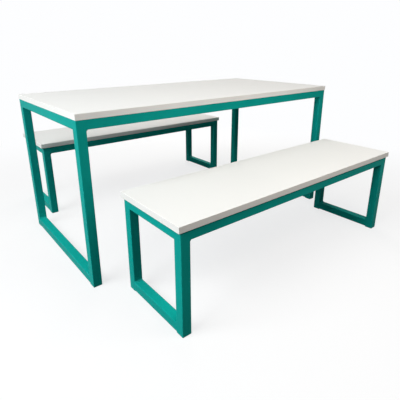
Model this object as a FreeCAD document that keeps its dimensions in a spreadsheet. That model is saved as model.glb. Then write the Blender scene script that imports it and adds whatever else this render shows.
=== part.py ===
import FreeCAD, Part
import math
import operator
import os
import Sketcher
from types import SimpleNamespace

# Dining table with two matching benches.
# White boards with glued edge bands lie on welded frames of square steel tube.
# Each frame has two closed end loops, joined by a front and a rear rail under the board.
# The long sides run along X. One bench stands in front of the table (-Y), one behind it (+Y).
# The origin is on the floor under the middle of the table, with +Z up. Lengths are in millimetres.

SIZES = (
    ("table_length", 1600, "length of the table top"),
    ("table_depth", 800, "depth of the table top"),
    ("table_height", 760, "floor to the upper face of the table top"),
    ("table_end_overhang", 1, "top past the frame at each end of the table"),
    ("table_side_overhang", 2, "top past the frame along each side of the table"),
    ("bench_length", 1400, "length of a seat"),
    ("bench_depth", 400, "depth of a seat"),
    ("bench_height", 450, "floor to the upper face of a seat"),
    ("bench_end_overhang", 10, "seat past the frame at each end of a bench"),
    ("bench_side_overhang", 6, "seat past the frame along each side of a bench"),
    ("bench_gap", 85, "free gap between the table's edge and a bench's edge"),
    ("front_bench_shift", 19, "front bench off the table's middle, to the right"),
    ("rear_bench_shift", 0, "rear bench off the table's middle, to the right"),
    ("board_thickness", 25, "thickness of every board"),
    ("band_thickness", 2, "thickness of an edge band"),
    ("band_round", 1, "rounding of a band's long outer edges"),
    ("tube_width", 40, "outer width of the square tube"),
    ("tube_wall", 2, "wall of the square tube"),
    ("bore_corner", 0.5, "corner radius inside the square tube"),
    ("cope_share", 0.8, "part of a leg's corner radius that a rail's weld fills"),
    ("cope_clearance", 0.15, "leg's corner radius less the radius of the cut that fits it"),
    ("weld_leg", 6.5, "width of a weld bead on each of its two faces"),
    ("weld_hollow", 10, "radius of a weld bead's hollow face"),
    ("foot_rail_clearance", 4, "floor to the underside of a foot rail"),
    ("glide_flange", 1.5, "thickness of a glide under its leg"),
    ("glide_inset", 0.5, "leg past the glide's flange on each side"),
    ("glide_plug", 18, "length of a glide's plug inside the leg"),
    ("glide_plug_wall", 3, "wall of a glide's plug"),
    ("glide_clearance", 0.15, "gap between a glide's plug and the tube on each side"),
    ("cleat_length", 40, "length of a fixing cleat along its rail"),
    ("cleat_width", 28, "width of a cleat's upper flange"),
    ("cleat_drop", 24, "height of a cleat's flange on the rail"),
    ("cleat_thickness", 3, "thickness of a cleat"),
    ("cleat_margin", 220, "end of the frame to the middle of the first cleat"),
    ("cleat_hole", 5.5, "diameter of the screw hole in a cleat"),
    ("cleat_hole_set", 16, "rail to the middle of the screw hole"),
    ("screw_head_width", 9, "diameter of a screw's head"),
    ("screw_head_height", 2.6, "height of a screw's head"),
    ("screw_shank", 4, "diameter of a screw's shank"),
    ("screw_length", 20, "length of a screw under its head"),
    ("screw_tip", 4, "length of a screw's pointed tip"),
    ("pilot_clearance", 0.1, "gap round a screw in its pilot hole"),
    ("pilot_spare", 1, "pilot hole past the tip of its screw"),
)
OPERATIONS = {"+": operator.add, "-": operator.sub, "*": operator.mul, "/": operator.truediv}
NEARLY_ZERO = 1e-9
OUT_FOLDER = "parts"

doc = FreeCAD.newDocument("TableAndBenches")
sheet = doc.addObject("Spreadsheet::Sheet", "Sizes")
nodes = []


class Size:
    """A length: its number now and the sheet expression that it comes from."""

    def __init__(self, number, text):
        self.number = number
        self.text = text

    def __add__(self, other):
        return joined(self, "+", other)

    def __sub__(self, other):
        return joined(self, "-", other)

    def __rsub__(self, other):
        return joined(other, "-", self)

    def __mul__(self, other):
        return joined(self, "*", other)

    def __rmul__(self, other):
        return joined(other, "*", self)

    def __truediv__(self, other):
        return joined(self, "/", other)

    def __neg__(self):
        return joined(-1, "*", self)


def as_size(value):
    return value if isinstance(value, Size) else Size(value, f"({value})")


def joined(left, sign, right):
    left = as_size(left)
    right = as_size(right)
    number = OPERATIONS[sign](left.number, right.number)
    return Size(number, f"({left.text} {sign} {right.text})")


def write_sizes():
    """Fill the sheet and return each size by its name."""
    sizes = {}
    for row, (alias, value, note) in enumerate(SIZES, start=1):
        sheet.set(f"A{row}", note)
        sheet.set(f"B{row}", str(value))
        sheet.setAlias(f"B{row}", alias)
        sizes[alias] = Size(value, f"Sizes.{alias}")
    doc.recompute()
    return SimpleNamespace(**sizes)


size = write_sizes()
tube_corner = size.bore_corner + size.tube_wall
tube_bore = size.tube_width - 2 * size.tube_wall


def bind(item, **sizes):
    for name, value in sizes.items():
        item.setExpression(name, value.text)


def place(item, x, y, z, yaw=0, roll=0):
    """Stand an item at a point, rolled about X and then turned about Z, in degrees."""
    item.Placement = FreeCAD.Placement(FreeCAD.Vector(), FreeCAD.Rotation(yaw, 0, roll))
    for axis, value in (("x", x), ("y", y), ("z", z)):
        item.setExpression(f"Placement.Base.{axis}", as_size(value).text)


def keep(item, name):
    """Give a finished sub-part its own name and list it for writing."""
    item.Label = name
    nodes.append(item)


def origin_plane(body, role):
    return next(plane for plane in body.Origin.OriginFeatures if plane.Role == role)


def new_sketch(body, name, role):
    sketch = body.newObject("Sketcher::SketchObject", name)
    sketch.AttachmentSupport = [(origin_plane(body, role), "")]
    sketch.MapMode = "FlatFace"
    return sketch


def dimension(sketch, constraint, value):
    index = sketch.addConstraint(constraint)
    sketch.setExpression(f"Constraints[{index}]", value.text)


def locate(sketch, geometry, point, axis, value):
    """Hold one coordinate of a point at a distance from the sketch's origin."""
    value = as_size(value)
    kind = f"Distance{axis}"
    if abs(value.number) < NEARLY_ZERO:
        axis_line = -2 if axis == "X" else -1
        sketch.addConstraint(Sketcher.Constraint("PointOnObject", geometry, point, axis_line))
    elif value.number > 0:
        dimension(sketch, Sketcher.Constraint(kind, -1, 1, geometry, point, value.number), value)
    else:
        dimension(sketch, Sketcher.Constraint(kind, geometry, point, -1, 1, -value.number), -value)


def draw_outline(sketch, corners):
    """Draw a closed anticlockwise outline of level and upright lines.

    A corner is (x, y), or (x, y, radius) where it is rounded.
    """
    corners = [tuple(as_size(value) for value in corner) for corner in corners]
    points = [FreeCAD.Vector(corner[0].number, corner[1].number) for corner in corners]
    radii = [corner[2] if len(corner) > 2 else None for corner in corners]
    cuts = [radius.number if radius else 0 for radius in radii]
    count = len(points)
    ways = [(points[(i + 1) % count] - points[i]).normalize() for i in range(count)]
    lines = []
    for i, way in enumerate(ways):
        start = points[i] + way * cuts[i]
        end = points[(i + 1) % count] - way * cuts[(i + 1) % count]
        lines.append(sketch.addGeometry(Part.LineSegment(start, end), False))
    for i, way in enumerate(ways):
        before = lines[i - 1]
        level = abs(way.y) < NEARLY_ZERO
        sketch.addConstraint(Sketcher.Constraint("Horizontal" if level else "Vertical", lines[i]))
        if radii[i]:
            centre = points[i] + (way - ways[i - 1]) * cuts[i]
            start_angle = math.atan2(-way.y, -way.x)
            circle = Part.Circle(centre, FreeCAD.Vector(0, 0, 1), cuts[i])
            quarter = Part.ArcOfCircle(circle, start_angle, start_angle + math.pi / 2)
            arc = sketch.addGeometry(quarter, False)
            sketch.addConstraint(Sketcher.Constraint("Tangent", before, 2, arc, 1))
            sketch.addConstraint(Sketcher.Constraint("Tangent", arc, 2, lines[i], 1))
            dimension(sketch, Sketcher.Constraint("Radius", arc, cuts[i]), radii[i])
        else:
            sketch.addConstraint(Sketcher.Constraint("Coincident", before, 2, lines[i], 1))
    for i, way in enumerate(ways):
        level = abs(way.y) < NEARLY_ZERO
        locate(sketch, lines[i], 1, "Y" if level else "X", corners[i][1 if level else 0])


def draw_square(sketch, width, radius):
    half = width / 2
    draw_outline(sketch, [(-half, -half, radius), (half, -half, radius),
                          (half, half, radius), (-half, half, radius)])


def draw_circle(sketch, x, y, radius):
    centre = FreeCAD.Vector(as_size(x).number, as_size(y).number)
    shape = Part.Circle(centre, FreeCAD.Vector(0, 0, 1), radius.number)
    circle = sketch.addGeometry(shape, False)
    dimension(sketch, Sketcher.Constraint("Radius", circle, radius.number), radius)
    locate(sketch, circle, 3, "X", x)
    locate(sketch, circle, 3, "Y", y)


def add_pad(body, sketch, length, middle=False):
    pad = body.newObject("PartDesign::Pad", sketch.Name + "_pad")
    pad.Profile = sketch
    pad.SideType = "Symmetric" if middle else "One side"
    bind(pad, Length=length)
    return pad


def new_body(name):
    return doc.addObject("PartDesign::Body", name)


def group(name, copies):
    """One node of separate solids: copies of a body, each at its own place."""
    compound = doc.addObject("Part::Compound", name)
    compound.Links = copies
    keep(compound, name)


def copy_of(body, name, **spot):
    link = doc.addObject("App::Link", name)
    link.LinkedObject = body
    place(link, **spot)
    return link


def tube_profile(body, role):
    sketch = new_sketch(body, body.Name + "_section", role)
    draw_square(sketch, size.tube_width, tube_corner)
    draw_square(sketch, tube_bore, size.bore_corner)
    return sketch


def make_leg(name, unit, side_x, side_y):
    """Upright tube from its glide to the underside of the board."""
    body = new_body(name)
    add_pad(body, tube_profile(body, "XY_Plane"), unit.frame_top - size.glide_flange)
    place(body, unit.x + side_x * unit.leg_x, unit.y + side_y * unit.leg_y, size.glide_flange)
    keep(body, name)


def make_rail(name, clear, x, y, z, yaw, flush_inside):
    """Level tube between two legs, with its outer side towards its own -Y.

    Its ends are cut to the legs' faces, and its outer wall fills the legs' rounded corners, as
    a weld that is ground flush does. A foot rail is flush on its inner side too.
    """
    body = new_body(name)
    reach = tube_corner * size.cope_share
    add_pad(body, tube_profile(body, "YZ_Plane"), clear + 2 * reach, middle=True)
    near = clear / 2
    far = near + size.tube_width
    half = size.tube_width / 2
    fit = tube_corner - size.cope_clearance
    inner_corner = (near, half, fit) if flush_inside else (near, half)
    cut_sketch = new_sketch(body, name + "_end", "XY_Plane")
    draw_outline(cut_sketch, [(near, -half, fit), (far, -half), (far, half), inner_corner])
    cut = body.newObject("PartDesign::Pocket", name + "_cut")
    cut.Profile = cut_sketch
    cut.SideType = "Symmetric"
    bind(cut, Length=2 * size.tube_width)
    both_ends = body.newObject("PartDesign::Mirrored", name + "_both_ends")
    both_ends.Originals = [cut]
    both_ends.MirrorPlane = (origin_plane(body, "YZ_Plane"), [""])
    body.Tip = both_ends
    place(body, x, y, z, yaw=yaw)
    keep(body, name)


def make_frame(unit):
    """Legs and rails of one welded frame."""
    for end, side_x in (("left", -1), ("right", 1)):
        for side, side_y in (("front", -1), ("rear", 1)):
            make_leg(f"{unit.name}_leg_{side}_{end}", unit, side_x, side_y)
    rail_z = unit.frame_top - size.tube_width / 2
    foot_z = size.foot_rail_clearance + size.tube_width / 2
    clear_x = 2 * unit.leg_x - size.tube_width
    clear_y = 2 * unit.leg_y - size.tube_width
    for side, side_y, yaw in (("front", -1, 0), ("rear", 1, 180)):
        y = unit.y + side_y * unit.leg_y
        make_rail(f"{unit.name}_rail_{side}", clear_x, unit.x, y, rail_z, yaw, False)
    for end, side_x, yaw in (("left", -1, -90), ("right", 1, 90)):
        x = unit.x + side_x * unit.leg_x
        make_rail(f"{unit.name}_end_rail_{end}", clear_y, x, unit.y, rail_z, yaw, False)
        make_rail(f"{unit.name}_foot_rail_{end}", clear_y, x, unit.y, foot_z, yaw, True)


def make_weld_bead():
    """Short fillet of weld for an inner corner, its root on local Y, its faces along +X and +Z."""
    body = new_body("weld_bead")
    leg = size.weld_leg.number
    hollow = size.weld_hollow.number
    middle = leg / 2 + math.sqrt(hollow ** 2 / 2 - leg ** 2 / 4)
    sketch = new_sketch(body, "weld_bead_section", "XZ_Plane")
    root = FreeCAD.Vector(0, 0)
    along = FreeCAD.Vector(leg, 0)
    upright = FreeCAD.Vector(0, leg)
    circle = Part.Circle(FreeCAD.Vector(middle, middle), FreeCAD.Vector(0, 0, 1), hollow)
    start_angle = math.atan2(leg - middle, -middle)
    end_angle = math.atan2(-middle, leg - middle)
    level = sketch.addGeometry(Part.LineSegment(root, along), False)
    rise = sketch.addGeometry(Part.LineSegment(upright, root), False)
    face = sketch.addGeometry(Part.ArcOfCircle(circle, start_angle, end_angle), False)
    for joint in ((rise, 2, level, 1), (level, 1, -1, 1), (level, 2, face, 2), (face, 1, rise, 1)):
        sketch.addConstraint(Sketcher.Constraint("Coincident", *joint))
    sketch.addConstraint(Sketcher.Constraint("Horizontal", level))
    sketch.addConstraint(Sketcher.Constraint("Vertical", rise))
    locate(sketch, level, 2, "X", size.weld_leg)
    locate(sketch, rise, 1, "Y", size.weld_leg)
    dimension(sketch, Sketcher.Constraint("Radius", face, hollow), size.weld_hollow)
    add_pad(body, sketch, size.tube_width - 2 * tube_corner, middle=True)
    return body


def make_welds(unit, bead):
    """Beads in the inner corners: under the upper rails and on the foot rails."""
    beads = []
    under = unit.frame_top - size.tube_width
    upon = size.foot_rail_clearance + size.tube_width
    half = size.tube_width / 2
    for side_x in (-1, 1):
        for side_y in (-1, 1):
            leg_x = unit.x + side_x * unit.leg_x
            leg_y = unit.y + side_y * unit.leg_y
            face_x = leg_x - side_x * half
            face_y = leg_y - side_y * half
            long_yaw = 0 if side_x < 0 else 180
            end_yaw = 90 if side_y < 0 else -90
            spots = (
                {"x": face_x, "y": leg_y, "z": under, "yaw": long_yaw, "roll": 180},
                {"x": leg_x, "y": face_y, "z": under, "yaw": end_yaw, "roll": 180},
                {"x": leg_x, "y": face_y, "z": upon, "yaw": end_yaw},
            )
            for spot in spots:
                beads.append(copy_of(bead, f"{unit.name}_bead_{len(beads)}", **spot))
    group(f"{unit.name}_weld_beads", beads)


def make_glide():
    """Plastic foot: a thin flange under the leg and a hollow square plug inside it."""
    body = new_body("glide")
    inset = size.glide_inset
    flange = new_sketch(body, "glide_flange", "XY_Plane")
    draw_square(flange, size.tube_width - 2 * inset, tube_corner)
    add_pad(body, flange, size.glide_flange)
    plug = new_sketch(body, "glide_plug", "XY_Plane")
    plug_width = tube_bore - 2 * size.glide_clearance
    draw_square(plug, plug_width, size.bore_corner)
    draw_square(plug, plug_width - 2 * size.glide_plug_wall, size.bore_corner)
    add_pad(body, plug, size.glide_flange + size.glide_plug)
    return body


def make_glides(unit, glide):
    glides = []
    for side_x in (-1, 1):
        for side_y in (-1, 1):
            x = unit.x + side_x * unit.leg_x
            y = unit.y + side_y * unit.leg_y
            glides.append(copy_of(glide, f"{unit.name}_glide_{len(glides)}", x=x, y=y, z=0))
    group(f"{unit.name}_foot_glides", glides)


def make_cleat():
    """Steel angle for holding a board down: back on local Y = 0, upper face at Z = 0."""
    body = new_body("cleat")
    thick = size.cleat_thickness
    section = new_sketch(body, "cleat_section", "YZ_Plane")
    draw_outline(section, [(0, 0), (0, -size.cleat_drop), (thick, -size.cleat_drop),
                           (thick, -thick), (size.cleat_width, -thick), (size.cleat_width, 0)])
    add_pad(body, section, size.cleat_length, middle=True)
    hole = new_sketch(body, "cleat_hole", "XY_Plane")
    draw_circle(hole, 0, size.cleat_hole_set, size.cleat_hole / 2)
    cut = body.newObject("PartDesign::Pocket", "cleat_hole_cut")
    cut.Profile = hole
    cut.SideType = "Symmetric"
    bind(cut, Length=4 * thick)
    return body


def make_screw():
    """Pan head wood screw, driven upwards: the head's seat is at Z = 0 and the tip above it."""
    head = doc.addObject("Part::Cylinder", "screw_head")
    bind(head, Radius=size.screw_head_width / 2, Height=size.screw_head_height)
    place(head, 0, 0, -size.screw_head_height)
    straight = size.screw_length - size.screw_tip
    shank = doc.addObject("Part::Cylinder", "screw_shank")
    bind(shank, Radius=size.screw_shank / 2, Height=straight)
    tip = doc.addObject("Part::Cone", "screw_tip")
    bind(tip, Radius1=size.screw_shank / 2, Radius2=as_size(0), Height=size.screw_tip)
    place(tip, 0, 0, straight)
    screw = doc.addObject("Part::MultiFuse", "screw")
    screw.Shapes = [head, shank, tip]
    return screw


def cleat_spots(unit):
    """Middle of each cleat on the rails' inner faces, with its turn and its hole's place."""
    half = size.tube_width / 2
    end_x = unit.frame_length / 2 - size.cleat_margin
    spots = []
    for side_y, yaw in ((-1, 0), (1, 180)):
        face_y = unit.y + side_y * (unit.leg_y - half)
        for step in unit.cleat_steps:
            x = unit.x + step * end_x
            spots.append((x, face_y, face_y - side_y * size.cleat_hole_set, yaw))
    return spots


def make_fixings(unit, cleat, screw):
    """Cleats on the rails, and the screws that hold the board down on them."""
    cleats = []
    screws = []
    for x, face_y, hole_y, yaw in cleat_spots(unit):
        mark = len(cleats)
        cleats.append(copy_of(cleat, f"{unit.name}_cleat_{mark}",
                              x=x, y=face_y, z=unit.frame_top, yaw=yaw))
        screws.append(copy_of(screw, f"{unit.name}_screw_{mark}",
                              x=x, y=hole_y, z=unit.frame_top - size.cleat_thickness))
    group(f"{unit.name}_fixing_cleats", cleats)
    group(f"{unit.name}_{unit.board_name}_screws", screws)


def make_board(unit):
    """Faced chipboard inside its edge bands, with a pilot hole for each screw."""
    name = f"{unit.name}_{unit.board_name}"
    length = unit.length - 2 * size.band_thickness
    depth = unit.depth - 2 * size.band_thickness
    blank = doc.addObject("Part::Box", name + "_blank")
    bind(blank, Length=length, Width=depth, Height=size.board_thickness)
    place(blank, unit.x - length / 2, unit.y - depth / 2, unit.frame_top)
    pilots = []
    for x, _, hole_y, _ in cleat_spots(unit):
        pilot = doc.addObject("Part::Cylinder", f"{name}_pilot_{len(pilots)}")
        bind(pilot, Radius=size.screw_shank / 2 + size.pilot_clearance,
             Height=size.screw_length - size.cleat_thickness + size.pilot_spare)
        place(pilot, x, hole_y, unit.frame_top)
        pilots.append(pilot)
    holes = doc.addObject("Part::Compound", name + "_pilots")
    holes.Links = pilots
    board = doc.addObject("Part::Cut", name)
    board.Base = blank
    board.Tool = holes
    keep(board, name)


def make_band(name, length, x, y, z, yaw):
    """Edge band with its inner face on local Y = 0 and rounded long edges on its outer face."""
    body = new_body(name)
    section = new_sketch(body, name + "_section", "YZ_Plane")
    outer = -size.band_thickness
    draw_outline(section, [(0, 0), (0, size.board_thickness),
                           (outer, size.board_thickness, size.band_round),
                           (outer, 0, size.band_round)])
    add_pad(body, section, length, middle=True)
    place(body, x, y, z, yaw=yaw)
    keep(body, name)


def make_bands(unit):
    """Front and rear bands run the full length, and the end bands lie between them."""
    inner_x = unit.length / 2 - size.band_thickness
    inner_y = unit.depth / 2 - size.band_thickness
    z = unit.frame_top
    for side, side_y, yaw in (("front", -1, 0), ("rear", 1, 180)):
        y = unit.y + side_y * inner_y
        make_band(f"{unit.name}_edge_band_{side}", unit.length, unit.x, y, z, yaw)
    for end, side_x, yaw in (("left", -1, -90), ("right", 1, 90)):
        x = unit.x + side_x * inner_x
        make_band(f"{unit.name}_edge_band_{end}", 2 * inner_y, x, unit.y, z, yaw)


def new_unit(name, kind, board_name, x, y, cleat_steps):
    """Sizes and place of the table or of one bench."""
    length = getattr(size, kind + "_length")
    depth = getattr(size, kind + "_depth")
    frame_length = length - 2 * getattr(size, kind + "_end_overhang")
    frame_depth = depth - 2 * getattr(size, kind + "_side_overhang")
    return SimpleNamespace(
        name=name, board_name=board_name, x=as_size(x), y=as_size(y), cleat_steps=cleat_steps,
        length=length, depth=depth, frame_length=frame_length,
        frame_top=getattr(size, kind + "_height") - size.board_thickness,
        leg_x=(frame_length - size.tube_width) / 2, leg_y=(frame_depth - size.tube_width) / 2)


def make_units():
    bench_y = size.table_depth / 2 + size.bench_gap + size.bench_depth / 2
    return (
        new_unit("table", "table", "top", 0, 0, (-1, 0, 1)),
        new_unit("front_bench", "bench", "seat", size.front_bench_shift, -bench_y, (-1, 1)),
        new_unit("rear_bench", "bench", "seat", size.rear_bench_shift, bench_y, (-1, 1)),
    )


def check_document():
    """Stop if any object failed or any sub-part has no sound shape."""
    for item in doc.Objects:
        if {"Invalid", "Error"} & set(item.State):
            raise RuntimeError(f"{item.Label} failed: {item.State}")
    for node in nodes:
        if node.Shape.isNull() or not node.Shape.isValid() or not node.Shape.Solids:
            raise RuntimeError(f"{node.Label} has no sound shape")


def write_parts():
    os.makedirs(OUT_FOLDER, exist_ok=True)
    for node in nodes:
        node.Shape.exportStep(os.path.join(OUT_FOLDER, node.Label + ".step"))
        print(f"{node.Label}: {len(node.Shape.Solids)} solid(s), {node.Shape.Volume:.0f} mm3")


def main():
    bead = make_weld_bead()
    glide = make_glide()
    cleat = make_cleat()
    screw = make_screw()
    for unit in make_units():
        make_board(unit)
        make_bands(unit)
        make_frame(unit)
        make_welds(unit, bead)
        make_glides(unit, glide)
        make_fixings(unit, cleat, screw)
    doc.recompute()
    check_document()
    write_parts()


main()
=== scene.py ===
"""Looks of a dining table with two benches: fine metal and plastic pieces, finishes and stage."""

import math
from contextlib import contextmanager
from types import SimpleNamespace
from typing import NamedTuple

import bmesh
import bpy
from bpy.props import FloatProperty, FloatVectorProperty, IntProperty, PointerProperty
from mathutils import Matrix, Vector


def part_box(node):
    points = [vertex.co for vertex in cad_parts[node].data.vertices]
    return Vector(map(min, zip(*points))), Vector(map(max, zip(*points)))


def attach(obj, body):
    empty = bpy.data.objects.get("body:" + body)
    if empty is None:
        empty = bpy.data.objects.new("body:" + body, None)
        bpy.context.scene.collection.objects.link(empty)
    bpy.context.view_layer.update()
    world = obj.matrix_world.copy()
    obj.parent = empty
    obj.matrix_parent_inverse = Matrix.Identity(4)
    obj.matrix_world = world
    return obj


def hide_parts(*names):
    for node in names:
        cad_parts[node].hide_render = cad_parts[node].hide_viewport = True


bl_info = {
    "name": "Table and Bench Set",
    "version": (1, 0, 0),
    "blender": (4, 5, 0),
    "location": "3D View > Sidebar > Table Set",
    "description": "Dresses a steel-framed dining table and its two benches",
    "category": "Object",
}

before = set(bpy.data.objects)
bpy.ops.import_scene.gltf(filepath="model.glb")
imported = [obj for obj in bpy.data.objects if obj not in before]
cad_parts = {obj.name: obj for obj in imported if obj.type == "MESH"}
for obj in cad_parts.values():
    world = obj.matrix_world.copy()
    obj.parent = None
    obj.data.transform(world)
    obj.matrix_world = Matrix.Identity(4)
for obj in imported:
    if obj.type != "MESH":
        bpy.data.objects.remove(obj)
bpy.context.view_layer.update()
UNITS = ("table", "front_bench", "rear_bench")
BOARDS = {"table": "table_top", "front_bench": "front_bench_seat", "rear_bench": "rear_bench_seat"}
SCREWS = {unit: f"{board}_screws" for unit, board in BOARDS.items()}
LONG_SIDES = ("front", "rear")
ENDS = ("left", "right")
CORNERS = [f"{side}_{end}" for side in LONG_SIDES for end in ENDS]

# Modelling: how straight an edge or face has to lie, as a share of its length along an axis
STRAIGHT = 0.999

# Weld beads: lines along the face as shares of the leg, each with its share of hollow and sweep
BEAD_LINES = ((0.25, 0.75), (0.5, 1.0), (0.75, 0.75))

# Screws: degrees from one to the next, width left at the tip, and how the recess narrows inwards
SCREW_TURN = 37
TIP_WIDTH = 0.06
RECESS_TAPER = (0.45, 0.8, 1)

# Screw thread: depth in the core in metres, and size across as a share of the pitch
THREAD_BURY = 0.0001
THREAD_FOOT = 0.26

# Glides: height of one fin in metres
FIN_HEIGHT = 0.0012

# Picture: width in pixels, and the camera's sensor in millimetres
PHOTO_WIDTH = 400
SENSOR_WIDTH = 36.0

# Stage: the floor is pale to the eye and dim to the light that it would throw back
WHITE = (1.0, 1.0, 1.0, 1.0)
PAPER_WHITE = (0.985, 0.99, 1.0, 1.0)
PALE_FLOOR = (0.90, 0.90, 0.905, 1.0)
DIM_FLOOR = (0.08, 0.08, 0.08, 1.0)


class SoftBox(NamedTuple):
    """Rectangular lamp: place, target and face in metres, and whether glossy surfaces mirror it."""

    place: tuple
    target: tuple
    face: tuple
    mirrored: bool


SOFT_BOXES = {
    "key": SoftBox((-3.4, -0.4, 3.0), (0, -0.2, 0.4), (2.5, 1.6), mirrored=False),
    "side": SoftBox((-2.4, -0.7, 0.9), (-0.6, -0.5, 0.4), (1.6, 1.0), mirrored=True),
    "front": SoftBox((0.2, -1.8, 1.7), (0, -0.7, 0.5), (1.2, 0.6), mirrored=True),
    "fill": SoftBox((2.3, 2.9, 1.2), (0, 0, 0.4), (2.5, 1.6), mirrored=False),
}
SKY_PLACE = (0, 0, 5)
SKY_TARGET = (3, 0, 0)
SKY_ANGLE = math.radians(40)


# Sizes and colours that a user would change

class FinishSettings(bpy.types.PropertyGroup):
    """Colours of the set's materials, in linear light."""

    coat: FloatVectorProperty(
        name="Powder coat", description="Colour of the steel frames",
        default=(0.004, 0.348, 0.308), min=0, max=1, subtype="COLOR")
    # Lighter coat along the tubes' corners: partly rubbed wear, partly a painted highlight on the
    # rounded edges.
    coat_wear_and_highlight: FloatVectorProperty(
        name="Rubbed coat", description="Coat along the tubes' corners, where hands and shoes rub it",
        default=(0.02, 0.425, 0.381), min=0, max=1, subtype="COLOR")
    board: FloatVectorProperty(
        name="Board facing", description="Satin white facing of the top and the seats",
        default=(0.850, 0.850, 0.843), min=0, max=1, subtype="COLOR")
    band: FloatVectorProperty(
        name="Edge band", description="Plastic bands round the boards",
        default=(0.895, 0.886, 0.866), min=0, max=1, subtype="COLOR")
    plastic: FloatVectorProperty(
        name="Glide plastic", description="Moulded glides under the legs",
        default=(0.030, 0.032, 0.034), min=0, max=1, subtype="COLOR")
    zinc: FloatVectorProperty(
        name="Zinc plate", description="Plated screws under the boards",
        default=(0.62, 0.62, 0.60), min=0, max=1, subtype="COLOR")


class BeadSettings(bpy.types.PropertyGroup):
    """Weld beads in the inner corners of the frames."""

    leg: FloatProperty(
        name="Leg", description="Width of a bead on each of its two faces",
        default=0.0065, min=0.001, unit="LENGTH")
    length: FloatProperty(
        name="Length", description="Length of a bead across a tube's flat face",
        default=0.0355, min=0.005, unit="LENGTH")
    hollow: FloatProperty(
        name="Hollow", description="How far a bead's face dips between its toes",
        default=0.0009, min=0, unit="LENGTH")
    ripples: IntProperty(
        name="Ripples", description="Solidified waves along a bead", default=11, min=3, max=30)
    ripple_height: FloatProperty(
        name="Ripple height", description="Height of a wave over the hollow between waves",
        default=0.00045, min=0, unit="LENGTH")
    ripple_sweep: FloatProperty(
        name="Ripple sweep", description="How far a wave's middle runs ahead of its toes",
        default=0.0011, min=0, unit="LENGTH")


class CleatSettings(bpy.types.PropertyGroup):
    """Bent steel cleats that hold a board on its rails."""

    length: FloatProperty(
        name="Length", description="Length of a cleat along its rail",
        default=0.040, min=0.01, unit="LENGTH")
    width: FloatProperty(
        name="Upper flange", description="Width of the flange under the board",
        default=0.028, min=0.01, unit="LENGTH")
    drop: FloatProperty(
        name="Rail flange", description="Height of the flange on the rail",
        default=0.024, min=0.01, unit="LENGTH")
    thickness: FloatProperty(
        name="Thickness", description="Thickness of the steel strip",
        default=0.003, min=0.001, unit="LENGTH")
    bend: FloatProperty(
        name="Bend", description="Radius of the bend on the side of the rail",
        default=0.0035, min=0.001, unit="LENGTH")
    corner: FloatProperty(
        name="Corner", description="Radius of the flanges' free corners",
        default=0.004, min=0, unit="LENGTH")
    hole: FloatProperty(
        name="Hole", description="Diameter of the screw hole",
        default=0.0055, min=0.001, unit="LENGTH")
    hole_set: FloatProperty(
        name="Hole set", description="Rail to the middle of the screw hole",
        default=0.016, min=0.001, unit="LENGTH")
    margin: FloatProperty(
        name="Margin", description="End of the frame to the middle of the first cleat",
        default=0.220, min=0.01, unit="LENGTH")
    broken_edge: FloatProperty(
        name="Broken edge", description="Width of the chamfer on the strip's edges",
        default=0.0003, min=0, unit="LENGTH")
    tack: FloatProperty(
        name="Tack weld", description="Length of the weld on each side of a cleat",
        default=0.014, min=0.001, unit="LENGTH")
    tack_leg: FloatProperty(
        name="Tack leg", description="Width of that weld on the rail and on the cleat",
        default=0.0026, min=0.0005, unit="LENGTH")


class ScrewSettings(bpy.types.PropertyGroup):
    """Pan head screws through the cleats."""

    head_width: FloatProperty(
        name="Head width", description="Diameter of a head",
        default=0.009, min=0.001, unit="LENGTH")
    head_height: FloatProperty(
        name="Head height", description="Height of a head",
        default=0.0026, min=0.0005, unit="LENGTH")
    crown: FloatProperty(
        name="Crown", description="Rounding of the head's rim",
        default=0.0017, min=0.0001, unit="LENGTH")
    length: FloatProperty(
        name="Length", description="Length under the head",
        default=0.020, min=0.005, unit="LENGTH")
    tip: FloatProperty(
        name="Tip", description="Length of the pointed tip",
        default=0.004, min=0.001, unit="LENGTH")
    core: FloatProperty(
        name="Core", description="Diameter between the threads",
        default=0.0028, min=0.001, unit="LENGTH")
    thread: FloatProperty(
        name="Thread", description="Diameter over the threads",
        default=0.0040, min=0.001, unit="LENGTH")
    pitch: FloatProperty(
        name="Pitch", description="Rise of the thread in one turn",
        default=0.0018, min=0.0005, unit="LENGTH")
    slot_length: FloatProperty(
        name="Cross length", description="Length of each slot of the cross recess",
        default=0.0050, min=0.0005, unit="LENGTH")
    slot_width: FloatProperty(
        name="Cross width", description="Width of each slot of the cross recess",
        default=0.0011, min=0.0002, unit="LENGTH")
    slot_depth: FloatProperty(
        name="Cross depth", description="Depth of the cross recess",
        default=0.0017, min=0.0002, unit="LENGTH")


class GlideSettings(bpy.types.PropertyGroup):
    """Moulded glides that close the legs and stand on the floor."""

    width: FloatProperty(
        name="Width", description="Width of the flange under the leg",
        default=0.039, min=0.01, unit="LENGTH")
    flange: FloatProperty(
        name="Flange", description="Thickness of the flange",
        default=0.0015, min=0.0005, unit="LENGTH")
    corner: FloatProperty(
        name="Corner", description="Radius of the flange's corners",
        default=0.0025, min=0.0005, unit="LENGTH")
    rim: FloatProperty(
        name="Rim", description="Rounding of the flange's lower edge",
        default=0.0006, min=0.0001, unit="LENGTH")
    dish: FloatProperty(
        name="Dish", description="Depth of the hollow in the sole",
        default=0.0004, min=0, unit="LENGTH")
    plug: FloatProperty(
        name="Plug", description="Width of the plug between its fins",
        default=0.0335, min=0.01, unit="LENGTH")
    plug_height: FloatProperty(
        name="Plug height", description="Length of the plug inside the leg",
        default=0.018, min=0.005, unit="LENGTH")
    plug_wall: FloatProperty(
        name="Plug wall", description="Wall of the hollow plug",
        default=0.0025, min=0.0005, unit="LENGTH")
    fin: FloatProperty(
        name="Fin", description="How far a fin stands out of the plug",
        default=0.0011, min=0, unit="LENGTH")
    fins: IntProperty(
        name="Fins", description="Fins along the plug", default=3, min=1, max=8)


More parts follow.
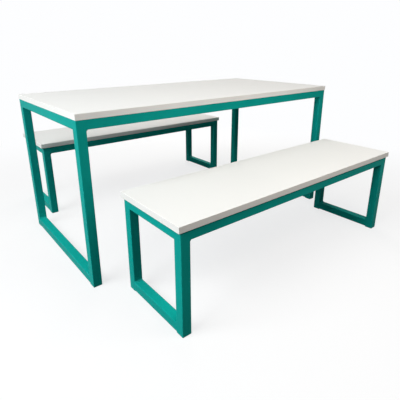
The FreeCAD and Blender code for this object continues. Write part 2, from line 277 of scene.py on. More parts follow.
class StageSettings(bpy.types.PropertyGroup):
    """Camera, lamps and floor."""

    camera_place: FloatVectorProperty(
        name="Camera place", description="Where the camera stands",
        default=(-1.2848, -1.7490, 0.9949), subtype="TRANSLATION", unit="LENGTH")
    camera_yaw: FloatProperty(
        name="Yaw", description="Turn of the view from +Y towards +X",
        default=math.radians(38.66), subtype="ANGLE")
    camera_pitch: FloatProperty(
        name="Pitch", description="Rise of the view over the horizon",
        default=math.radians(-18.63), subtype="ANGLE")
    camera_roll: FloatProperty(
        name="Roll", description="Turn of the camera about its view",
        default=math.radians(-0.185), subtype="ANGLE")
    focal_pixels: FloatProperty(
        name="Focal length", description="Focal length in pixels of a picture 400 wide",
        default=368.2, min=50, subtype="PIXEL")
    view_middle: FloatVectorProperty(
        name="View middle", description="Pixel that the camera's axis meets, from the upper left",
        default=(200.2, 170.9), size=2)
    floor_size: FloatProperty(
        name="Floor size", description="Side of the square floor",
        default=60.0, min=5, unit="LENGTH")
    floor_white: FloatProperty(
        name="Floor white", description="Share of plain white in the floor's look near the set",
        default=0.76, min=0, max=1, subtype="FACTOR")
    floor_reach: FloatVectorProperty(
        name="Floor reach", description="Distances between which the floor turns to plain white",
        default=(1.3, 2.7), size=2, min=0, unit="LENGTH")
    room_light: FloatProperty(
        name="Room light", description="Even light from all round", default=0.10, min=0)
    key_light: FloatProperty(
        name="Key light", description="Soft lamp high on the left",
        default=115.0, min=0, subtype="POWER")
    side_light: FloatProperty(
        name="Side light", description="Soft lamp low on the left, for the frames' left faces",
        default=9.5, min=0, subtype="POWER")
    front_light: FloatProperty(
        name="Front light", description="Soft lamp above and before the front bench",
        default=14.8, min=0, subtype="POWER")
    fill_light: FloatProperty(
        name="Fill light", description="Soft lamp behind on the right",
        default=88.0, min=0, subtype="POWER")
    cool: FloatVectorProperty(
        name="Cool light", description="Colour of the key lamp",
        default=(0.92, 0.98, 1.0), min=0, max=1, subtype="COLOR")
    warm: FloatVectorProperty(
        name="Warm light", description="Colour of the front, fill and sky lamps",
        default=(1.0, 0.94, 0.86), min=0, max=1, subtype="COLOR")
    sky_light: FloatProperty(
        name="Sky light", description="Broad light from above on the left",
        default=0.80, min=0)


# Modelling helpers

def leave_edit_mode():
    """Back to object mode, where that is needed."""
    if bpy.context.mode != "OBJECT":
        bpy.ops.object.mode_set(mode="OBJECT")


def select_only(*objects):
    """Deselect everything, then select these objects, the first one active."""
    leave_edit_mode()
    bpy.ops.object.select_all(action="DESELECT")
    for item in objects:
        item.select_set(True)
    bpy.context.view_layer.objects.active = objects[0] if objects else None


def new_piece(name, add, scale=(1, 1, 1), **settings):
    """Add a primitive with its place and size in its mesh."""
    select_only()
    add(**settings)
    piece = bpy.context.object
    piece.name = name
    piece.data.name = name
    piece.scale = scale
    bpy.ops.object.transform_apply(location=True, rotation=True, scale=True)
    return piece


def new_block(name, low, high):
    """Add a block between two corners."""
    low = Vector(low)
    high = Vector(high)
    return new_piece(name, bpy.ops.mesh.primitive_cube_add, size=1,
                     location=(low + high) / 2, scale=high - low)


@contextmanager
def editing(piece):
    """Edit mode on one piece."""
    select_only(piece)
    bpy.ops.object.mode_set(mode="EDIT")
    yield
    bpy.ops.object.mode_set(mode="OBJECT")


def pick(kind, test):
    """Select the vertices, edges or faces of the edited mesh that pass a test."""
    bpy.ops.mesh.select_mode(type=kind)
    bpy.ops.mesh.select_all(action="DESELECT")
    mesh = bpy.context.edit_object.data
    shape = bmesh.from_edit_mesh(mesh)
    items = {"VERT": shape.verts, "EDGE": shape.edges, "FACE": shape.faces}[kind]
    found = [item for item in items if test(item)]
    for item in found:
        item.select_set(True)
    shape.select_flush_mode()
    bmesh.update_edit_mesh(mesh)
    if not found:
        raise RuntimeError(f"nothing to pick on {bpy.context.edit_object.name}")


def near(a, b, room=1e-5):
    """True for two lengths that are the same but for rounding."""
    return abs(a - b) < room


def edge_middle(edge):
    """Point halfway along an edge."""
    return (edge.verts[0].co + edge.verts[1].co) / 2


def runs_along(edge, axis):
    """True for an edge that lies along one axis, 0 to 2."""
    step = edge.verts[1].co - edge.verts[0].co
    return abs(step[axis]) > STRAIGHT * step.length


def faces_along(face, axis, sign):
    """True for a face that looks along one axis, 0 to 2, on its plus or minus side."""
    return face.normal[axis] * sign > STRAIGHT


def apply_modifier(piece, kind, **settings):
    """Add a modifier with its settings and apply it."""
    select_only(piece)
    modifier = piece.modifiers.new(kind.title(), kind)
    for key, value in settings.items():
        setattr(modifier, key, value)
    bpy.ops.object.modifier_apply(modifier=modifier.name)


def cut_with(piece, cutter):
    """Take the cutter's shape out of the piece and delete the cutter."""
    apply_modifier(piece, "BOOLEAN", operation="DIFFERENCE", object=cutter, solver="EXACT")
    drop(cutter)


def drop(piece):
    """Delete a piece and its mesh."""
    mesh = piece.data
    bpy.data.objects.remove(piece)
    bpy.data.meshes.remove(mesh)


def copy_to(master, matrix):
    """A copy of the master with its own mesh, moved in the mesh itself."""
    twin = master.copy()
    twin.data = master.data.copy()
    bpy.context.scene.collection.objects.link(twin)
    twin.data.transform(matrix)
    return twin


def join(name, parts):
    """Join parts into one piece."""
    select_only(*parts)
    bpy.ops.object.join()
    piece = bpy.context.object
    piece.name = name
    piece.data.name = name
    return piece


def smooth(piece, degrees):
    """Smooth shading, with edges sharper than an angle kept."""
    select_only(piece)
    bpy.ops.object.shade_smooth_by_angle(angle=math.radians(degrees))


def face_outwards(piece):
    """Turn the faces of a closed piece outwards."""
    with editing(piece):
        bpy.ops.mesh.select_all(action="SELECT")
        bpy.ops.mesh.normals_make_consistent(inside=False)


def turned(place, yaw_degrees=0, roll_degrees=0):
    """Roll about X first, then yaw about Z, then the move to a place."""
    yaw = Matrix.Rotation(math.radians(yaw_degrees), 4, "Z")
    roll = Matrix.Rotation(math.radians(roll_degrees), 4, "X")
    return Matrix.Translation(place) @ yaw @ roll


def unit_places(unit):
    """Heights and faces of one unit's frame, read from its tubes."""
    legs = {corner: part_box(f"{unit}_leg_{corner}") for corner in CORNERS}
    front_low, front_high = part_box(f"{unit}_rail_front")
    rear_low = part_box(f"{unit}_rail_rear")[0]
    foot_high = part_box(f"{unit}_foot_rail_left")[1]
    return SimpleNamespace(
        legs=legs, top=front_high.z, under=front_low.z, on_foot=foot_high.z,
        front_face=front_high.y, rear_face=rear_low.y,
        left=min(low.x for low, _ in legs.values()),
        right=max(high.x for _, high in legs.values()))


def hand_over(piece, unit, slot, surface, *nodes):
    """Put a finished piece on its unit in place of the nodes that it stands for."""
    piece.data.materials.clear()
    piece.data.materials.append(surface)
    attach(piece, unit)
    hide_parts(*nodes)


# Materials

class Field:
    """A socket of a material, open to plain arithmetic: each step adds one Math node."""

    def __init__(self, socket):
        self.socket = socket

    def maths(self, operation, left, right=None):
        """Result of one Math node on fields or numbers."""
        tree = self.socket.id_data
        node = tree.nodes.new("ShaderNodeMath")
        node.operation = operation
        for slot, value in zip(node.inputs, (left, right)):
            if isinstance(value, Field):
                tree.links.new(value.socket, slot)
            elif value is not None:
                slot.default_value = value
        return Field(node.outputs[0])

    def __add__(self, other):
        return self.maths("ADD", self, other)

    __radd__ = __add__

    def __sub__(self, other):
        return self.maths("SUBTRACT", self, other)

    def __rsub__(self, other):
        return self.maths("SUBTRACT", other, self)

    def __mul__(self, other):
        return self.maths("MULTIPLY", self, other)

    __rmul__ = __mul__

    def __abs__(self):
        return self.maths("ABSOLUTE", self)

    def __or__(self, other):
        """The larger of two fields."""
        return self.maths("MAXIMUM", self, other)


class Finish:
    """A material or world built node by node."""

    def __init__(self, owner):
        self.owner = owner
        owner.use_nodes = True
        self.tree = owner.node_tree
        self.tree.nodes.clear()

    def node(self, kind, settings=None, inputs=None, output=0):
        """Add a node: its settings first, then its sockets' values or links."""
        node = self.tree.nodes.new(kind)
        for key, value in (settings or {}).items():
            setattr(node, key, value)
        for key, value in (inputs or {}).items():
            if isinstance(value, Field):
                self.tree.links.new(value.socket, node.inputs[key])
            else:
                node.inputs[key].default_value = value
        return Field(node.outputs[output])

    def noise(self, scale, detail, squeeze=None):
        """Even noise over the piece, from 0 to 1 round a half, finer along an axis that is squeezed."""
        spot = self.node("ShaderNodeTexCoord", output="Object")
        if squeeze:
            spot = self.node("ShaderNodeMapping", inputs={"Vector": spot, "Scale": squeeze})
        return self.node("ShaderNodeTexNoise",
                         inputs={"Vector": spot, "Scale": scale, "Detail": detail})

    def ramp(self, value, low, high):
        """Smooth step from 0 at low to 1 at high."""
        return self.node("ShaderNodeMapRange", {"interpolation_type": "SMOOTHSTEP"},
                         {"Value": value, "From Min": low, "From Max": high})

    def blend(self, share, first, second):
        """Colour between two colours."""
        return self.node("ShaderNodeMix", {"data_type": "RGBA"},
                         {0: share, 6: first, 7: second}, output=2)

    def corners(self):
        """1 along the rounded corners of square tubes, 0 on their flat faces."""
        normal = self.node("ShaderNodeTexCoord", output="Normal")
        parts = [abs(self.node("ShaderNodeSeparateXYZ", inputs={"Vector": normal}, output=axis))
                 for axis in "XYZ"]
        return self.ramp(1.0 - (parts[0] | parts[1] | parts[2]), low=0.004, high=0.16)

    def bump(self, height, depth):
        """Normal of a surface with that height, from 0 to 1, times a depth in metres."""
        return self.node("ShaderNodeBump", inputs={
            "Height": height, "Distance": depth, "Strength": 1.0})

    def surface(self, **sockets):
        """Close the material with a Principled surface."""
        named = {key.replace("_", " "): value for key, value in sockets.items()}
        self.output(self.node("ShaderNodeBsdfPrincipled", inputs=named))
        return self.owner

    def output(self, shader, kind="ShaderNodeOutputMaterial"):
        """Link a shader to a new output node."""
        closing = self.tree.nodes.new(kind)
        self.tree.links.new(shader.socket, closing.inputs["Surface"])


def opaque(colour, level=1.0):
    """Colour property as a socket value, with its brightness changed."""
    return (*(min(1.0, part * level) for part in colour), 1.0)


def material(name):
    """Finish of a new material."""
    return Finish(bpy.data.materials.new(name))


def existing(name, make):
    """The material of that name, made once."""
    return bpy.data.materials.get(name) or make(name)


def powder_coat(name):
    """Satin powder coat: soft clouds of tone, fine orange peel, lighter along the corners as rubbed
    wear and as a painted highlight.
    """
    finish = material(name)
    colours = bpy.context.scene.set_finish
    cloud = finish.noise(scale=5.0, detail=3.0)
    fleck = finish.noise(scale=420.0, detail=2.0)
    patches = finish.ramp(finish.noise(scale=38.0, detail=3.0), low=0.35, high=0.70)
    # Corner mask: the coat turns lighter along the rounded corners, partly rubbed wear and partly a
    # painted highlight.
    wear_and_highlight = finish.corners() * patches
    tone = finish.ramp(cloud * 0.75 + fleck * 0.25, low=0.30, high=0.70)
    even = finish.blend(tone, opaque(colours.coat, level=0.94), opaque(colours.coat, level=1.06))
    colour = finish.blend(wear_and_highlight * 0.55, even, opaque(colours.coat_wear_and_highlight))
    peel = finish.noise(scale=900.0, detail=1.0) + finish.noise(scale=260.0, detail=1.0) * 0.8
    return finish.surface(
        Base_Color=colour,
        Roughness=0.44 + cloud * 0.10 - wear_and_highlight * 0.06,
        Specular_IOR_Level=0.025,
        Normal=finish.bump(peel, depth=0.00006))


def board_facing(name):
    """Satin melamine facing: pearl texture, faint specks and hand marks in the gloss."""
    finish = material(name)
    colours = bpy.context.scene.set_finish
    cloud = finish.noise(scale=2.6, detail=4.0)
    speck = finish.noise(scale=760.0, detail=1.0)
    tone = finish.ramp(cloud * 0.55 + speck * 0.45, low=0.32, high=0.68)
    colour = finish.blend(tone, opaque(colours.board, level=0.982), opaque(colours.board, level=1.012))
    pearl = finish.noise(scale=1500.0, detail=1.0) + finish.noise(scale=620.0, detail=1.0) * 0.6
    return finish.surface(
        Base_Color=colour,
        Roughness=0.53 + cloud * 0.14,
        Specular_IOR_Level=0.3,
        Normal=finish.bump(pearl, depth=0.00003))


def edge_band(name):
    """Extruded plastic band: fine lines along its length under a satin skin."""
    finish = material(name)
    colours = bpy.context.scene.set_finish
    lines = finish.noise(scale=1.0, detail=2.0, squeeze=(4, 4, 900))
    cloud = finish.noise(scale=7.0, detail=3.0)
    tone = finish.ramp(lines * 0.5 + cloud * 0.5, low=0.30, high=0.70)
    colour = finish.blend(tone, opaque(colours.band, level=0.97), opaque(colours.band, level=1.02))
    return finish.surface(
        Base_Color=colour,
        Roughness=0.50 + lines * 0.14,
        Specular_IOR_Level=0.2,
        Normal=finish.bump(lines, depth=0.00004))


def glide_plastic(name):
    """Dark moulded plastic: eroded mould texture, greyed where it slides on the floor."""
    finish = material(name)
    colours = bpy.context.scene.set_finish
    grain = finish.noise(scale=1100.0, detail=2.0)
    streaks = finish.noise(scale=160.0, detail=3.0, squeeze=(1, 6, 1))
    scuff = finish.ramp(streaks, low=0.52, high=0.66)
    colour = finish.blend(scuff * 0.5, opaque(colours.plastic), opaque(colours.plastic, level=2.2))
    return finish.surface(
        Base_Color=colour,
        Roughness=0.48 + grain * 0.12 + scuff * 0.10,
        Normal=finish.bump(grain, depth=0.00005))


def zinc_plate(name):
    """Bright zinc plate: cloudy, with darker patches and fine drawing marks."""
    finish = material(name)
    colours = bpy.context.scene.set_finish
    cloud = finish.noise(scale=240.0, detail=4.0)
    marks = finish.noise(scale=900.0, detail=2.0, squeeze=(1, 1, 5))
    tone = finish.ramp(cloud, low=0.35, high=0.65)
    colour = finish.blend(tone, opaque(colours.zinc, level=0.78), opaque(colours.zinc, level=1.06))
    return finish.surface(
        Base_Color=colour,
        Metallic=1.0,
        Roughness=0.26 + cloud * 0.16,
        Normal=finish.bump(marks, depth=0.00002))


def coat_nodes(nodes, surface):
    """Give CAD nodes their finish."""
    for node in nodes:
        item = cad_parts[node]
        item.data.materials.clear()
        item.data.materials.append(surface)


# Fine pieces

def model_bead(name, length, leg, settings):
    """Run of weld for an inner corner: root on local Y, faces along +X and +Z."""
    half = length / 2
    rings = 2 * max(2, round(settings.ripples * length / settings.length)) + 1
    step = length / (rings + 1)
    depth = leg / settings.leg
    inwards = Vector((-1, 0, -1)).normalized() * depth
    crest = inwards * -settings.ripple_height
    bead = new_block(name, (0, -half, 0), (leg, half, leg))

    def on_face(spot):
        return near(spot.x + spot.z, leg)

    def on_toe(spot):
        return near(spot.x, 0) or near(spot.z, 0)

    with editing(bead):
        bpy.ops.mesh.select_all(action="SELECT")
        bpy.ops.mesh.bisect(plane_co=(leg, 0, 0), plane_no=(1, 0, 1),
                            use_fill=True, clear_outer=True)
        pick("EDGE", lambda e: on_face(e.verts[0].co) and on_face(e.verts[1].co)
             and not runs_along(e, 1))
        bpy.ops.mesh.subdivide(number_cuts=len(BEAD_LINES))
        pick("EDGE", lambda e: runs_along(e, 1))
        bpy.ops.mesh.subdivide(number_cuts=rings)
        pick("EDGE", lambda e: runs_along(e, 1) and on_toe(edge_middle(e)))
        bpy.ops.transform.edge_crease(value=1)
        for line, share in BEAD_LINES:
            sweep = Vector((0, settings.ripple_sweep * share * depth, 0))
            hollow = inwards * settings.hollow * share
            pick("VERT", lambda v: on_face(v.co) and near(v.co.x, line * leg))
            bpy.ops.transform.translate(value=hollow + sweep)
            pick("VERT", lambda v: near(v.co.x, line * leg + hollow.x)
                 and near(v.co.z, (1 - line) * leg + hollow.z)
                 and round((v.co.y - sweep.y + half) / step) % 2)
            bpy.ops.transform.translate(value=crest)
    apply_modifier(bead, "SUBSURF", levels=1, render_levels=1)
    smooth(bead, degrees=60)
    return bead


def bead_places(unit):
    """Inner corners of one frame: at each leg two under the rails and one on the foot rail."""
    frame_places = unit_places(unit)
    for corner, (low, high) in frame_places.legs.items():
        middle = (low + high) / 2
        front = corner.startswith("front")
        left = corner.endswith("left")
        face_x = high.x if left else low.x
        face_y = high.y if front else low.y
        across = 90 if front else -90
        yield turned((face_x, middle.y, frame_places.under), 0 if left else 180, roll_degrees=180)
        yield turned((middle.x, face_y, frame_places.under), across, roll_degrees=180)
        yield turned((middle.x, face_y, frame_places.on_foot), across)


def model_cleat(settings, beads):
    """Bent strip: back on local Y = 0, upper face at Z = 0, a screw hole in the upper flange."""
    half = settings.length / 2
    cleat = new_piece("cleat", bpy.ops.mesh.primitive_plane_add, size=1,
                      location=(0, settings.width / 2, 0),
                      scale=(settings.length, settings.width, 1))
    with editing(cleat):
        pick("EDGE", lambda e: near(edge_middle(e).y, 0))
        bpy.ops.mesh.extrude_region_move(
            TRANSFORM_OT_translate={"value": (0, 0, -settings.drop)})
        pick("EDGE", lambda e: near(edge_middle(e).y, 0) and near(edge_middle(e).z, 0))
        bpy.ops.mesh.bevel(offset=settings.bend, segments=6, affect="EDGES")
        pick("VERT", lambda v: near(abs(v.co.x), half)
             and (near(v.co.y, settings.width) or near(v.co.z, -settings.drop)))
        bpy.ops.mesh.bevel(offset=settings.corner, segments=5, affect="VERTICES")
    apply_modifier(cleat, "SOLIDIFY", thickness=settings.thickness, offset=-1,
                   use_even_offset=True)
    cut_with(cleat, new_piece(
        "hole", bpy.ops.mesh.primitive_cylinder_add, vertices=32, radius=settings.hole / 2,
        depth=4 * settings.thickness, location=(0, settings.hole_set, 0)))
    apply_modifier(cleat, "BEVEL", width=settings.broken_edge, segments=2,
                   limit_method="ANGLE", angle_limit=math.radians(50))
    smooth(cleat, degrees=40)
    tack = model_bead("tack", settings.tack, settings.tack_leg, beads)
    height = -(settings.drop + settings.bend) / 2
    parts = [cleat]
    for side, yaw in ((1, 0), (-1, 180)):
        parts.append(copy_to(tack, turned((side * half, 0, height), yaw, -90 * side)))
    drop(tack)
    return join("cleat", parts)


def cleat_places(unit, settings):
    """Where the cleats of one unit sit on its front and rear rails."""
    frame_places = unit_places(unit)
    steps = (-1, 0, 1) if unit == "table" else (-1, 1)
    middle = (frame_places.left + frame_places.right) / 2
    reach = (frame_places.right - frame_places.left) / 2 - settings.margin
    for face, yaw in ((frame_places.front_face, 0), (frame_places.rear_face, 180)):
        for step in steps:
            yield turned((middle + step * reach, face, frame_places.top), yaw)


def model_screw(settings):
    """Pan head screw: the head's seat on Z = 0, the tip upwards."""
    radius = settings.head_width / 2
    height = settings.head_height
    straight = settings.length - settings.tip
    screw = new_piece("screw", bpy.ops.mesh.primitive_cylinder_add, vertices=32,
                      radius=radius, depth=height, location=(0, 0, -height / 2))
    with editing(screw):
        pick("EDGE", lambda e: all(near(v.co.z, -height) for v in e.verts))
        bpy.ops.mesh.bevel(offset=settings.crown, segments=6, affect="EDGES")
        pick("FACE", lambda f: faces_along(f, 2, 1))
        bpy.ops.mesh.inset(thickness=radius - settings.core / 2)
        for rise, width in ((straight, 1.0), (settings.tip, TIP_WIDTH)):
            bpy.ops.mesh.extrude_region_move(TRANSFORM_OT_translate={"value": (0, 0, rise)})
            bpy.ops.transform.resize(value=(width, width, 1), center_override=(0, 0, 0))
    for turn in (0, 90):
        cut_with(screw, recess_cutter(settings, turn))
    smooth(screw, degrees=35)
    return join("screw", [screw, model_thread(settings, straight)])


def recess_cutter(settings, turn):
    """One tapering slot of the cross recess."""
    bottom = -settings.head_height + settings.slot_depth
    size = Vector((settings.slot_length, settings.slot_width, 0)) / 2
    cutter = new_block("recess", -size - Vector((0, 0, 2 * settings.head_height)),
                       size + Vector((0, 0, bottom)))
    with editing(cutter):
        pick("FACE", lambda f: faces_along(f, 2, 1))
        bpy.ops.transform.resize(value=RECESS_TAPER, center_override=(0, 0, 0))
    cutter.data.transform(turned((0, 0, 0), turn))
    return cutter


def model_thread(settings, straight):
    """Helical thread round the core, with its ends closed: a triangle turned upwards round Z."""
    depth = (settings.thread - settings.core) / 2 + THREAD_BURY
    point = depth * 2 / 3
    turns = int((straight - settings.pitch) / settings.pitch)
    thread = new_piece(
        "thread", bpy.ops.mesh.primitive_circle_add, vertices=3, radius=1,
        rotation=(-math.pi / 2, -math.pi / 2, 0),
        location=(settings.thread / 2 - point, 0, settings.pitch / 2),
        scale=(settings.pitch * THREAD_FOOT, point, 1))
    apply_modifier(thread, "SCREW", axis="Z", angle=math.tau, steps=16, render_steps=16,
                   screw_offset=settings.pitch, iterations=turns)
    with editing(thread):
        for low in (True, False):
            pick("EDGE", lambda e: e.is_boundary and (edge_middle(e).z < settings.pitch) == low)
            bpy.ops.mesh.edge_face_add()
    face_outwards(thread)
    smooth(thread, degrees=30)
    return thread


def model_glide(settings):
    """Moulded glide: sole on Z = 0, a finned plug upwards."""
    half = settings.width / 2
    sole = new_block("glide", (-half, -half, 0), (half, half, settings.flange))
    with editing(sole):
        pick("EDGE", lambda e: runs_along(e, 2))
        bpy.ops.mesh.bevel(offset=settings.corner, segments=4, affect="EDGES")
        pick("EDGE", lambda e: all(near(v.co.z, 0) for v in e.verts))
        bpy.ops.mesh.bevel(offset=settings.rim, segments=3, affect="EDGES")
        pick("FACE", lambda f: faces_along(f, 2, -1))
        for inset, rise in ((settings.corner / 2, 0), (settings.corner / 4, settings.dish)):
            bpy.ops.mesh.inset(thickness=inset)
            bpy.ops.transform.translate(value=(0, 0, rise))
    smooth(sole, degrees=30)
    return join("glide", [sole, model_plug(settings)])


def model_plug(settings):
    """Hollow plug with fins that grip the leg's inside."""
    half = settings.plug / 2
    gap = (settings.plug_height - settings.fins * FIN_HEIGHT) / (settings.fins + 1)
    wide = 1 + settings.fin / half
    fin = ((FIN_HEIGHT / 3, wide), (FIN_HEIGHT * 2 / 3, 1 / wide), (gap, 1))
    plug = new_block("plug", (-half, -half, settings.flange / 2), (half, half, settings.flange + gap))
    with editing(plug):
        pick("EDGE", lambda e: runs_along(e, 2))
        bpy.ops.mesh.bevel(offset=settings.corner / 2, segments=3, affect="EDGES")
        pick("FACE", lambda f: faces_along(f, 2, 1))
        for _ in range(settings.fins):
            for rise, width in fin:
                bpy.ops.mesh.extrude_region_move(TRANSFORM_OT_translate={"value": (0, 0, rise)})
                bpy.ops.transform.resize(value=(width, width, 1), center_override=(0, 0, 0))
        bpy.ops.mesh.inset(thickness=settings.plug_wall)
        bpy.ops.mesh.extrude_region_move(
            TRANSFORM_OT_translate={"value": (0, 0, -settings.plug_height)})
    smooth(plug, degrees=30)
    return plug


# Stage

def seen_directly(finish):
    """1 for what the camera sees, also in a mirror or through glass, 0 for light between surfaces."""
    rays = [finish.node("ShaderNodeLightPath", output=name)
            for name in ("Is Camera Ray", "Is Glossy Ray", "Is Transmission Ray")]
    return rays[0] | rays[1] | rays[2]


def add_floor(settings):
    """Plain pale floor: it keeps the shadow near the set and turns to plain white further out."""
    floor = new_piece("floor", bpy.ops.mesh.primitive_plane_add, size=settings.floor_size)
    finish = material("floor")
    spot = finish.node("ShaderNodeTexCoord", output="Object")
    reach = finish.node("ShaderNodeVectorMath", {"operation": "LENGTH"}, {0: spot}, output="Value")
    far = finish.ramp(reach, *settings.floor_reach)
    share = settings.floor_white + far * (1 - settings.floor_white)
    pale = finish.node("ShaderNodeBsdfDiffuse", inputs={"Color": PALE_FLOOR})
    white = finish.node("ShaderNodeEmission", inputs={"Color": PAPER_WHITE})
    dim = finish.node("ShaderNodeBsdfDiffuse", inputs={"Color": DIM_FLOOR})
    looks = finish.node("ShaderNodeMixShader", inputs={0: share, 1: pale, 2: white})
    mixed = finish.node("ShaderNodeMixShader", inputs={0: seen_directly(finish), 1: dim, 2: looks})
    finish.output(mixed)
    floor.data.materials.append(finish.owner)


def light_room(scene, settings):
    """Even room light, with a white background."""
    world = bpy.data.worlds.new("room")
    scene.world = world
    finish = Finish(world)
    even = finish.node("ShaderNodeBackground",
                       inputs={"Color": WHITE, "Strength": settings.room_light})
    white = finish.node("ShaderNodeBackground", inputs={"Color": PAPER_WHITE})
    mixed = finish.node("ShaderNodeMixShader",
                        inputs={0: seen_directly(finish), 1: even, 2: white})
    finish.output(mixed, "ShaderNodeOutputWorld")


def add_lamp(name, kind, place, target, **settings):
    """Lamp at a place, aimed at a target; the settings go to its light."""
    select_only()
    bpy.ops.object.light_add(type=kind, location=place)
    lamp = bpy.context.object
    lamp.name = name
    aim = Vector(target) - Vector(place)
    lamp.rotation_euler = aim.to_track_quat("-Z", "Y").to_euler()
    for key, value in settings.items():
        setattr(lamp.data, key, value)
    return lamp


def add_lamps(settings):
    """Soft boxes round the set, and a broad light from the sky."""
    lights = {
        "key": (settings.key_light, settings.cool),
        "side": (settings.side_light, WHITE[:3]),
        "front": (settings.front_light, settings.warm),
        "fill": (settings.fill_light, settings.warm),
    }
    for name, (power, colour) in lights.items():
        box = SOFT_BOXES[name]
        width, height = box.face
        lamp = add_lamp(name, "AREA", box.place, box.target, energy=power, color=colour,
                        shape="RECTANGLE", size=width, size_y=height)
        lamp.visible_glossy = box.mirrored
    add_lamp("sky", "SUN", SKY_PLACE, SKY_TARGET, energy=settings.sky_light, color=settings.warm,
             angle=SKY_ANGLE)


def add_camera(scene, settings):
    """Camera at the fitted place, with the shift that the picture's framing needs."""
    select_only()
    bpy.ops.object.camera_add(location=settings.camera_place)
    camera = bpy.context.object
    turn = Matrix.Rotation(-settings.camera_yaw, 4, "Z")
    tilt = Matrix.Rotation(math.pi / 2 + settings.camera_pitch, 4, "X")
    roll = Matrix.Rotation(settings.camera_roll, 4, "Z")
    camera.rotation_euler = (turn @ tilt @ roll).to_euler()
    camera.data.sensor_width = SENSOR_WIDTH
    camera.data.lens = settings.focal_pixels / PHOTO_WIDTH * SENSOR_WIDTH
    camera.data.shift_x = 0.5 - settings.view_middle[0] / PHOTO_WIDTH
    camera.data.shift_y = settings.view_middle[1] / PHOTO_WIDTH - 0.5
    scene.camera = camera


# Steps, panel and registration

class SET_OT_frame_tubes(bpy.types.Operator):
    """Coat the legs, rails and foot rails of the three frames"""

    bl_idname = "table_set.frame_tubes"
    bl_label = "Coat the frames"

    def execute(self, context):
        coat = existing("satin_teal_coat", powder_coat)
        for unit in UNITS:
            tubes = [f"{unit}_leg_{corner}" for corner in CORNERS]
            tubes += [f"{unit}_rail_{side}" for side in LONG_SIDES]
            tubes += [f"{unit}_{kind}_rail_{end}" for kind in ("end", "foot") for end in ENDS]
            coat_nodes(tubes, coat)
        return {"FINISHED"}


class SET_OT_boards(bpy.types.Operator):
    """Face the boards and their edge bands"""

    bl_idname = "table_set.boards"
    bl_label = "Face the boards"

    def execute(self, context):
        coat_nodes(BOARDS.values(), existing("satin_white_facing", board_facing))
        bands = [f"{unit}_edge_band_{side}" for unit in UNITS for side in LONG_SIDES + ENDS]
        coat_nodes(bands, existing("extruded_white_band", edge_band))
        return {"FINISHED"}


class SET_OT_weld_beads(bpy.types.Operator):
    """Model the weld beads in the frames' inner corners"""

    bl_idname = "table_set.weld_beads"
    bl_label = "Weld the corners"

    def execute(self, context):
        settings = context.scene.set_beads
        coat = existing("satin_teal_coat", powder_coat)
        master = model_bead("bead", settings.length, settings.leg, settings)
        for unit in UNITS:
            beads = [copy_to(master, place) for place in bead_places(unit)]
            hand_over(join(f"{unit}_welds", beads), unit, "teal_powder_coat", coat,
                      f"{unit}_weld_beads")
        drop(master)
        return {"FINISHED"}


class SET_OT_cleats(bpy.types.Operator):
    """Model the bent cleats that hold the boards"""

    bl_idname = "table_set.cleats"
    bl_label = "Fix the cleats"

    def execute(self, context):
        settings = context.scene.set_cleats
        coat = existing("satin_teal_coat", powder_coat)
        master = model_cleat(settings, context.scene.set_beads)
        for unit in UNITS:
            cleats = [copy_to(master, place) for place in cleat_places(unit, settings)]
            hand_over(join(f"{unit}_cleats", cleats), unit, "teal_powder_coat", coat,
                      f"{unit}_fixing_cleats")
        drop(master)
        return {"FINISHED"}


class SET_OT_screws(bpy.types.Operator):
    """Model the screws through the cleats"""

    bl_idname = "table_set.screws"
    bl_label = "Drive the screws"

    def execute(self, context):
        cleats = context.scene.set_cleats
        plate = existing("bright_zinc_plate", zinc_plate)
        master = model_screw(context.scene.set_screws)
        seat = Vector((0, cleats.hole_set, -cleats.thickness))
        for unit in UNITS:
            screws = []
            for index, place in enumerate(cleat_places(unit, cleats)):
                screws.append(copy_to(master, place @ turned(seat, SCREW_TURN * index)))
            hand_over(join(f"{unit}_pan_screws", screws), unit, "zinc_steel", plate, SCREWS[unit])
        drop(master)
        return {"FINISHED"}


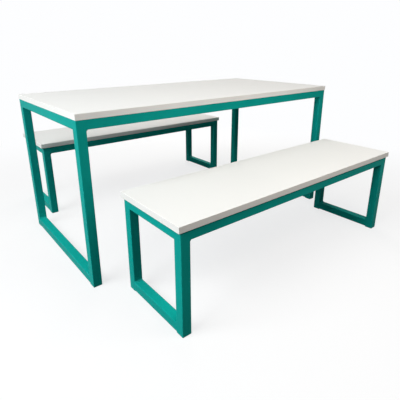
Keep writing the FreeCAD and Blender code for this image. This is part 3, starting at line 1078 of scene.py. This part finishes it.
class SET_OT_glides(bpy.types.Operator):
    """Model the glides under the legs"""

    bl_idname = "table_set.glides"
    bl_label = "Fit the glides"

    def execute(self, context):
        plastic = existing("moulded_glide_plastic", glide_plastic)
        master = model_glide(context.scene.set_glides)
        for unit in UNITS:
            glides = []
            for low, high in unit_places(unit).legs.values():
                middle = (low + high) / 2
                glides.append(copy_to(master, turned((middle.x, middle.y, 0))))
            hand_over(join(f"{unit}_glides", glides), unit, "dark_plastic", plastic,
                      f"{unit}_foot_glides")
        drop(master)
        return {"FINISHED"}


class SET_OT_stage(bpy.types.Operator):
    """Floor, lamps, room light and camera"""

    bl_idname = "table_set.stage"
    bl_label = "Set the stage"

    def execute(self, context):
        settings = context.scene.set_stage
        context.scene.view_settings.view_transform = "Standard"
        add_floor(settings)
        light_room(context.scene, settings)
        add_lamps(settings)
        add_camera(context.scene, settings)
        return {"FINISHED"}


class SET_PT_sidebar(bpy.types.Panel):
    """Sizes and colours of the set, and the steps that dress it, in order"""

    bl_idname = "SET_PT_sidebar"
    bl_label = "Table and Bench Set"
    bl_space_type = "VIEW_3D"
    bl_region_type = "UI"
    bl_category = "Table Set"

    def draw(self, context):
        for name, group in SETTINGS.items():
            rows = self.layout.box()
            rows.label(text=group.__doc__)
            for field in group.__annotations__:
                rows.prop(getattr(context.scene, name), field)
        for step in OPERATORS:
            self.layout.operator(step.bl_idname)


SETTINGS = {
    "set_finish": FinishSettings,
    "set_beads": BeadSettings,
    "set_cleats": CleatSettings,
    "set_screws": ScrewSettings,
    "set_glides": GlideSettings,
    "set_stage": StageSettings,
}
OPERATORS = (SET_OT_frame_tubes, SET_OT_boards, SET_OT_weld_beads, SET_OT_cleats,
             SET_OT_screws, SET_OT_glides, SET_OT_stage)


def register():
    for group in (*SETTINGS.values(), *OPERATORS, SET_PT_sidebar):
        bpy.utils.register_class(group)
    for name, group in SETTINGS.items():
        setattr(bpy.types.Scene, name, PointerProperty(type=group))


def unregister():
    for name in SETTINGS:
        delattr(bpy.types.Scene, name)
    for group in (SET_PT_sidebar, *reversed(OPERATORS), *reversed(SETTINGS.values())):
        bpy.utils.unregister_class(group)


def main():
    register()
    for step in OPERATORS:
        family, action = step.bl_idname.split(".")
        getattr(getattr(bpy.ops, family), action)()


if __name__ == "__main__":
    main()
